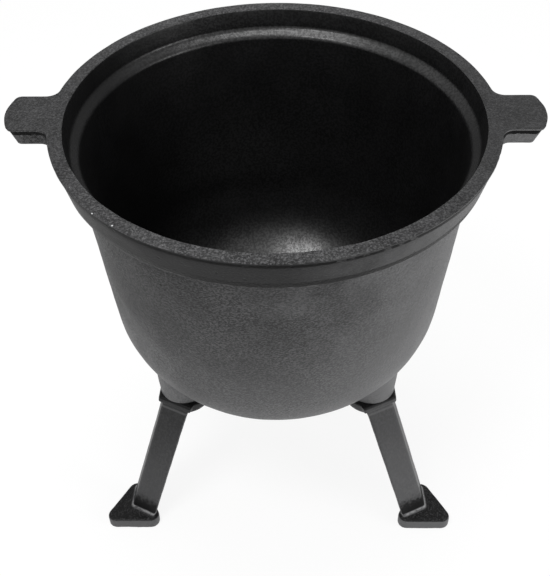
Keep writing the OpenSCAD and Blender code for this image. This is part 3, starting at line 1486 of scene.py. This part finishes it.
@dataclass
class Leg:
    """A leg: an angle with its ridge outwards, a top plate and a foot.

    Sizes are in millimetres, in the leg's own frame: x outwards from the pot's
    axis, y along the tangent, and z up. The slices say how far apart the
    outlines are that a form is stacked from.
    """

    lug_circle: float = 90.5
    ridge_reach: float = 18.3
    shoulder_reach: float = 20.5
    shoulder_lean: float = 0.16
    foot_circle: float = 153.8
    angle: float = 33.4
    top_width: float = 23.7
    foot_width: float = 22.8
    thickness: float = 4.9
    ridge_round: float = 2.4
    ridge_steps: int = 4
    root_radius: float = 15.0
    plate: float = 6.0
    plate_radius: float = 23.0
    plate_flare: float = 5.0
    plate_inset: float = 0.3
    plate_taper: float = 0.8
    facing: float = 0.05
    top_round: float = 1.5
    fillet: float = 3.0
    foot_side: float = 57.0
    foot_inset: float = 2.2
    foot_corner: float = 7.5
    foot: float = 11.5
    foot_round: float = 1.6
    foot_steps: int = 8
    foot_slice: float = 0.5
    strap_slice: float = 8.0
    root_slice: float = 0.7
    plate_slice: float = 0.6
    voxel: float = 0.85
    smoothing: int = 4
    skin_layers: Sequence[tuple[float, float]] = ((21.0, 0.22), (8.0, 0.1), (3.0, 0.045))
    height: float = field(init=False)

    def __post_init__(self) -> None:
        """Reads the leg's height from the frame."""
        self.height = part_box("leg_rear")[1][2] / MM

    def ridge(self, z: float) -> float:
        """Distance of the outer ridge from the pot's axis: steeper above the shoulder."""
        down = self.height - z
        line = self.ridge_reach + self.slope * down
        return self.lug_circle + max(line, self.shoulder_reach + self.shoulder_lean * down)

    @property
    def slope(self) -> float:
        """How far the ridge moves out for each millimetre down."""
        top = self.lug_circle + self.ridge_reach
        return (self.foot_circle - top) / (self.height - self.foot)

    @property
    def shoulder(self) -> float:
        """The height at which the sloping sides turn upright."""
        down = (self.shoulder_reach - self.ridge_reach) / (self.slope - self.shoulder_lean)
        return self.height - down

    def width(self, z: float) -> float:
        """Width of a side at a height, widening into the top plate.

        Args:
            z: the height.

        Returns:
            The width.
        """
        share = (z - self.foot) / (self.height - self.foot)
        plain = lerp(self.foot_width, self.top_width, share)
        full = self.plate_radius / math.cos(math.radians(self.angle))
        gap = self.height - self.plate - z
        if gap >= self.root_radius:
            return plain
        if gap <= 0:
            return full
        return plain + (full - plain) * rounding(gap, self.root_radius) / self.root_radius

    def section(self, z: float) -> list[Vector]:
        """The angle's closed outline, widened by the fillets at its two ends.

        Args:
            z: the height.

        Returns:
            The outline's points: the ridge's round, then one end, the inner side
            and the other end.
        """
        turn = math.radians(self.angle)
        low = rounding(z - self.foot, self.fillet)
        high = rounding(self.height - self.plate - z, self.fillet)
        cut = rounding(self.height - z, self.top_round)
        grow = low + high
        ridge, wide = self.ridge(z), self.width(z)
        outer = ridge + (grow - cut) / math.cos(turn)
        inner = ridge - (self.thickness + grow) / math.cos(turn)
        nose = (outer - self.ridge_round / math.cos(turn), 0.0)
        curve = arc(nose, self.ridge_round, -self.angle, self.angle, self.ridge_steps)
        reach = wide + high
        end = (outer - reach * math.sin(turn), reach * math.cos(turn))
        depth = self.thickness + 2 * grow - cut
        back = (end[0] - depth * math.cos(turn), end[1] - depth * math.sin(turn))
        points = curve + [end, back, (inner, 0.0), (back[0], -back[1]), (end[0], -end[1])]
        return [Vector((x, y, z)) for x, y in points]

    def heights(self, low: float, high: float, longest: float) -> list[float]:
        """Evenly spread heights, ends included."""
        count = max(1, math.ceil((high - low) / longest))
        return [lerp(low, high, i / count) for i in range(count + 1)]

    def angle_outlines(self) -> list[list[Vector]]:
        """Outlines of the angle from inside the foot up to the lug.

        Returns:
            The outlines, from the foot up.
        """
        root = self.height - self.plate - self.root_radius
        places = self.heights(self.foot - self.fillet, self.foot + self.fillet, self.foot_slice)
        places += self.heights(self.foot + self.fillet, root, self.strap_slice)[1:]
        places += self.heights(root, self.height, self.root_slice)[1:]
        return [self.section(z) for z in places]

    def plate_outlines(self) -> list[list[Vector]]:
        """Outlines of the top plate: a round, cut back along the leg's two sides.

        Returns:
            The outlines, from the lowest up.
        """
        turn = math.radians(self.angle)
        outlines = []
        low = self.height - self.plate - self.plate_flare
        for z in self.heights(low, self.height, self.plate_slice):
            cut = rounding(self.height - z, self.top_round)
            under = rounding(z - low, self.plate_flare)
            face = (self.ridge(z) - self.lug_circle) * math.cos(turn)
            face -= cut + under + self.plate_inset
            outline = []
            for point in ring_points(self.plate_radius - under * self.plate_taper, z):
                around = math.atan2(point.y, point.x)
                reach = math.hypot(point.x, point.y)
                for side in (-turn, turn):
                    lean = math.cos(around - side)
                    if lean > self.facing:
                        reach = min(reach, face / lean)
                across = Vector((reach * math.cos(around), reach * math.sin(around), z))
                outline.append(across + Vector((self.lug_circle, 0, 0)))
            outlines.append(outline)
        return outlines

    def foot_outlines(self) -> list[list[Vector]]:
        """Outlines of the three-cornered foot.

        Returns:
            The outlines, from the floor up.
        """
        outlines = []
        reach = self.foot_side / math.sqrt(3) - 2 * self.foot_corner
        middle = self.foot_circle - self.foot_inset
        for z in self.heights(0, self.foot, self.foot_slice):
            cut = rounding(self.foot - z, self.foot_round)
            cut += rounding(z, self.foot_round / 2)
            points: list[Point] = []
            for corner in (0, 120, 240):
                place = math.radians(corner)
                centre = (middle + reach * math.cos(place), reach * math.sin(place))
                radius = self.foot_corner - cut
                points += arc(centre, radius, corner - 60, corner + 60, self.foot_steps)
            outlines.append([Vector((x, y, z)) for x, y in points])
        return outlines

    def casting(self) -> bmesh.types.BMesh:
        """The whole leg as one skin, in the leg's own frame, in metres.

        Returns:
            A new mesh.
        """
        mesh = bmesh.new()
        for outlines in (self.angle_outlines(), self.plate_outlines(), self.foot_outlines()):
            stack(mesh, outlines)
        bmesh.ops.recalc_face_normals(mesh, faces=mesh.faces)
        to_metres(mesh)
        mesh = baked(mesh, "REMESH", {"mode": "VOXEL", "voxel_size": self.voxel * MM})
        axes = {f"use_axis_{axis}": True for axis in "xyz"}
        for _ in range(self.smoothing):
            bmesh.ops.smooth_vert(mesh, verts=mesh.verts, factor=0.5, **axes)
        return mesh

    def build(self) -> None:
        """Builds and dresses the three legs."""
        skin = LegSkin("leg_iron", foot=self.foot, top=self.height, shoulder=self.shoulder)
        material = skin.build()
        casting = self.casting()
        for station in Station:
            node = f"leg_{station.suffix}"
            mesh = casting.copy()
            bmesh.ops.transform(mesh, matrix=station.turn, verts=mesh.verts)
            roughen(mesh, self.skin_layers)
            keep_within(mesh, *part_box(node))
            finish_piece(mesh, f"iron_{node}", [material], node)
        casting.free()


@dataclass
class Fastener:
    """The bolt and washer that hold a leg, in millimetres."""

    lug_circle: float = 90.5
    bolt: float = 8.0
    flats: float = 13.0
    head: float = 5.3
    washer: float = 15.0
    washer_thickness: float = 1.6
    hole: float = 9.0
    length: float = 20.0
    chamfer: float = 0.7
    head_easing: float = 0.3
    washer_easing: float = 0.2
    segments: int = 48

    def hexagon(self, radius: float, height: float) -> list[Vector]:
        """The points of a circle, cut down to the bolt head's flats.

        Args:
            radius: the circle's radius.
            height: its height.

        Returns:
            The points.
        """
        outline = ring_points(radius, height, count=self.segments)
        sixth = math.pi / 3
        for point in outline:
            off = math.atan2(point.y, point.x) % sixth - sixth / 2
            reach = min(radius, self.flats / 2 / math.cos(off))
            point.xy = point.xy * (reach / radius)
        return outline

    def place(self, mesh: bmesh.types.BMesh, station: Station) -> None:
        """Carries a fastener to its lug, and from millimetres to metres.

        Args:
            mesh: the bolt or washer, on the Z axis.
            station: the leg that it holds.
        """
        bmesh.ops.recalc_face_normals(mesh, faces=mesh.faces)
        bmesh.ops.translate(mesh, vec=(self.lug_circle, 0, 0), verts=mesh.verts)
        to_metres(mesh)
        bmesh.ops.transform(mesh, matrix=station.turn, verts=mesh.verts)

    def bolt_mesh(self, top: float) -> bmesh.types.BMesh:
        """A bolt whose head hangs below a height.

        Args:
            top: the height of the head's upper face.

        Returns:
            A new mesh, on the Z axis.
        """
        corner, low, end = self.flats / math.sqrt(3), top - self.head, top + self.length
        shank = self.bolt / 2
        outlines = [
            self.hexagon(self.flats / 2 - self.head_easing, low),
            self.hexagon(corner, low + self.chamfer),
            self.hexagon(corner, top),
            ring_points(shank, top, count=self.segments),
            ring_points(shank, end - self.chamfer, count=self.segments),
            ring_points(shank - self.chamfer, end, count=self.segments),
        ]
        mesh = bmesh.new()
        stack(mesh, outlines)
        return mesh

    def washer_mesh(self, low: float) -> bmesh.types.BMesh:
        """A flat washer that starts at a height.

        Args:
            low: the height of its lower face.

        Returns:
            A new mesh, on the Z axis.
        """
        inner, outer = self.hole / 2, self.washer / 2
        ease, high = self.washer_easing, low + self.washer_thickness
        outline = [(inner, low), (outer - ease, low), (outer, low + ease)]
        outline += [(outer, high - ease), (outer - ease, high), (inner, high)]
        return lathe(outline, self.segments, closed=True)

    def build(self) -> None:
        """Builds and dresses the bolts and washers."""
        material = SteelSkin("dark_steel").build()
        for station in Station:
            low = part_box(f"washer_{station.suffix}")[0][2] / MM
            meshes = {"bolt": self.bolt_mesh(low), "washer": self.washer_mesh(low)}
            for kind, mesh in meshes.items():
                self.place(mesh, station)
                node = f"{kind}_{station.suffix}"
                finish_piece(mesh, f"steel_{node}", [material], node)


@dataclass(frozen=True)
class Lamp:
    """A soft square lamp: its place and its side in metres, and its power in watts."""

    name: str
    place: tuple[float, float, float]
    side: float
    power: float

    def add(self, aim: Vector) -> None:
        """Adds the lamp, turned to a point.

        Args:
            aim: the point that it faces.
        """
        data = bpy.data.lights.new(self.name, "AREA")
        data.shape = "SQUARE"
        data.size = self.side
        data.energy = self.power
        lamp = bpy.data.objects.new(self.name, data)
        lamp.location = self.place
        lamp.rotation_euler = (lamp.location - aim).to_track_quat("Z", "Y").to_euler()
        bpy.context.scene.collection.objects.link(lamp)


@dataclass
class Studio:
    """The pale floor, the soft light and the camera.

    The camera's place is its distance from the pot's axis and its height, in
    metres. Its angles are in degrees.
    """

    floor_half: float = 3.0
    floor_colour: Colour = (0.86, 0.86, 0.86)
    floor_glow: float = 0.88
    sky: float = 0.5
    camera_place: tuple[float, float] = (0.59805, 0.7854)
    orbit: float = 1.15
    pan: float = -0.17
    tilt: float = 43.70
    roll: float = -0.92
    focal_pixels: float = 1000.0
    frame_height: float = 576.0
    sensor: float = 36.0
    middle: float = 0.25
    lamps: Sequence[Lamp] = (
        Lamp("overhead", (-0.05, 0.15, 2.3), 0.9, 24.0),
        Lamp("key", (-0.6, -0.8, 2.0), 0.6, 22.0),
        Lamp("right", (1.9, -0.9, 0.8), 0.9, 18.0),
    )

    def floor(self) -> None:
        """The floor: pale, with the object's soft shadow on it."""
        mesh = bmesh.new()
        bmesh.ops.create_grid(mesh, x_segments=1, y_segments=1, size=self.floor_half)
        data = bpy.data.meshes.new("floor")
        mesh.to_mesh(data)
        mesh.free()
        floor = bpy.data.objects.new("floor", data)
        bpy.context.scene.collection.objects.link(floor)
        material = bpy.data.materials.new("floor_paper")
        material.use_nodes = True
        graph = Graph(material.node_tree)
        paper = graph.node("ShaderNodeBsdfDiffuse", None, {"Color": (*self.floor_colour, 1.0)})
        glow = graph.node("ShaderNodeEmission", None, {"Color": (1.0, 1.0, 1.0, 1.0)})
        share = self.seen(graph) * self.floor_glow
        mixed = graph.node("ShaderNodeMixShader", None, [share, paper, glow])
        graph.node("ShaderNodeOutputMaterial", None, {"Surface": mixed})
        data.materials.append(material)
        floor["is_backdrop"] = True

    def seen(self, graph: Graph) -> Link:
        """1 for a ray from the camera, or one that a shiny or clear surface sends."""
        path = ("Is Camera Ray", "Is Glossy Ray", "Is Transmission Ray")
        rays = [graph.node("ShaderNodeLightPath", None, None, name) for name in path]
        return rays[0].maximum(rays[1]).maximum(rays[2])

    def world(self) -> None:
        """An even pale sky, white where it is seen."""
        world = bpy.data.worlds.new("studio")
        bpy.context.scene.world = world
        world.use_nodes = True
        graph = Graph(world.node_tree)
        strength = self.sky + self.seen(graph) * (1.0 - self.sky)
        light = graph.node(
            "ShaderNodeBackground", None, {"Color": (1.0, 1.0, 1.0, 1.0), "Strength": strength}
        )
        graph.node("ShaderNodeOutputWorld", None, {"Surface": light})

    def camera(self) -> None:
        """The camera, at the photograph's place and angle."""
        data = bpy.data.cameras.new("camera")
        data.sensor_width = self.sensor
        data.lens = self.focal_pixels / self.frame_height * self.sensor
        pan, tilt, roll = (math.radians(a) for a in (self.pan - self.orbit, self.tilt, self.roll))
        around = math.radians(self.orbit)
        away, high = self.camera_place
        level = math.cos(tilt)
        look = Vector((math.sin(pan) * level, math.cos(pan) * level, -math.sin(tilt)))
        right = Vector((math.cos(pan), -math.sin(pan), 0.0))
        up = right.cross(look)
        tipped_right = math.cos(roll) * right + math.sin(roll) * up
        tipped_up = -math.sin(roll) * right + math.cos(roll) * up
        camera = bpy.data.objects.new("camera", data)
        axes = Matrix((tipped_right, tipped_up, -look)).transposed()
        place = Vector((away * math.sin(around), -away * math.cos(around), high))
        camera.matrix_world = Matrix.Translation(place) @ axes.to_4x4()
        bpy.context.scene.collection.objects.link(camera)
        bpy.context.scene.camera = camera

    def build(self) -> None:
        """Builds the studio."""
        self.camera()
        self.floor()
        self.world()
        for lamp in self.lamps:
            lamp.add(Vector((0.0, 0.0, self.middle)))
        bpy.context.scene.view_settings.view_transform = "Standard"


def write_sizes() -> None:
    """Logs the CAD model's box and the dressed model's box."""
    boxes = {"cad": CAD_BOX, "visual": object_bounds()}
    plain = {name: [list(corner) for corner in box] for name, box in boxes.items()}
    for name, corners in plain.items():
        log.info("%s box %s", name, [[round(v, 4) for v in corner] for corner in corners])


def main() -> None:
    """Builds the studio and every piece of the cauldron."""
    logging.basicConfig(level=logging.INFO, format="%(name)s: %(message)s")
    Studio().build()
    for builder in (Pot(), Leg(), Fastener()):
        builder.build()
    write_sizes()


if __name__ == "__main__":
    main()
